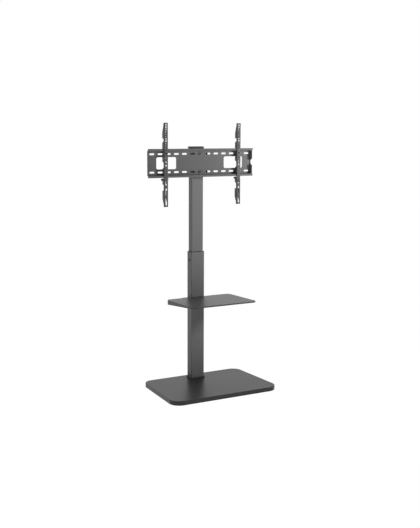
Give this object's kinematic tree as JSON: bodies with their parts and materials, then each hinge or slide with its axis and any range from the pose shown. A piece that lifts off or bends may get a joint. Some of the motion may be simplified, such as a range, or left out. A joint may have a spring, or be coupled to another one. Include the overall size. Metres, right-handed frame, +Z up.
{
  "type": "television floor stand",
  "caption": "Floor stand for a flat television: a telescopic column on a flat base board, a tilted shelf, and a slotted plate with hook-on arms that slide sideways.",
  "frame": {"origin": "middle of the footprint, on the floor under the pads", "axes": "+Z up, -Y towards the viewer and the screen, +X to the viewer's right along the plate"},
  "size_m": [0.638, 0.428, 1.4465],
  "materials": {
    "board": "black film on board, satin",
    "pads": "matte black rubber",
    "plain_steel": "plain steel",
    "plated_steel": "zinc plated",
    "plastic_trim": "matte black plastic",
    "coated_steel": "satin black powder coat",
    "black_screws": "black plated screws",
    "brass_pad": "plain brass"
  },
  "bodies": {
    "stand": {"base_board": "board", "foot_pads": "pads", "spreader_plate": "plain_steel", "foot_bolts": "plated_steel", "column_end_plate": "plain_steel", "foot_collar": "plastic_trim", "lower_tube": "coated_steel", "column_bush": "plastic_trim", "clamp_screw": "black_screws", "clamp_pad": "brass_pad"},
    "mast": {"upper_tube": "coated_steel", "mast_guide": "plastic_trim", "mast_cap": "plastic_trim", "plate_bracket": "coated_steel", "plate_standoffs": "coated_steel", "mount_plate": "coated_steel", "plate_bolts": "black_screws", "plate_washers": "black_screws"},
    "left_arm": {"left_arm": "coated_steel", "left_safety_screw": "black_screws", "left_safety_nut": "plated_steel"},
    "right_arm": {"right_arm": "coated_steel", "right_safety_screw": "black_screws", "right_safety_nut": "plated_steel"},
    "shelf": {"shelf_tray": "coated_steel", "shelf_studs": "plated_steel", "shelf_nuts": "plated_steel", "shelf_bracket": "coated_steel", "shelf_clamp_bar": "coated_steel", "shelf_clamp_bolts": "plated_steel", "shelf_clamp_nuts": "plated_steel"}
  },
  "joints": [
    {"name": "mast_height", "type": "slide", "parent": "stand", "child": "mast", "axis": [0, 0, 1], "range_m": [-0.2, 0.1]},
    {"name": "left_arm_slide", "type": "slide", "parent": "mast", "child": "left_arm", "axis": [1, 0, 0], "range_m": [-0.0835, 0.1165]},
    {"name": "right_arm_slide", "type": "slide", "parent": "mast", "child": "right_arm", "axis": [1, 0, 0], "range_m": [-0.127, 0.073]},
    {"name": "shelf_height", "type": "slide", "parent": "stand", "child": "shelf", "axis": [0, 0, 1], "range_m": [-0.25, 0.15]}
  ]
}
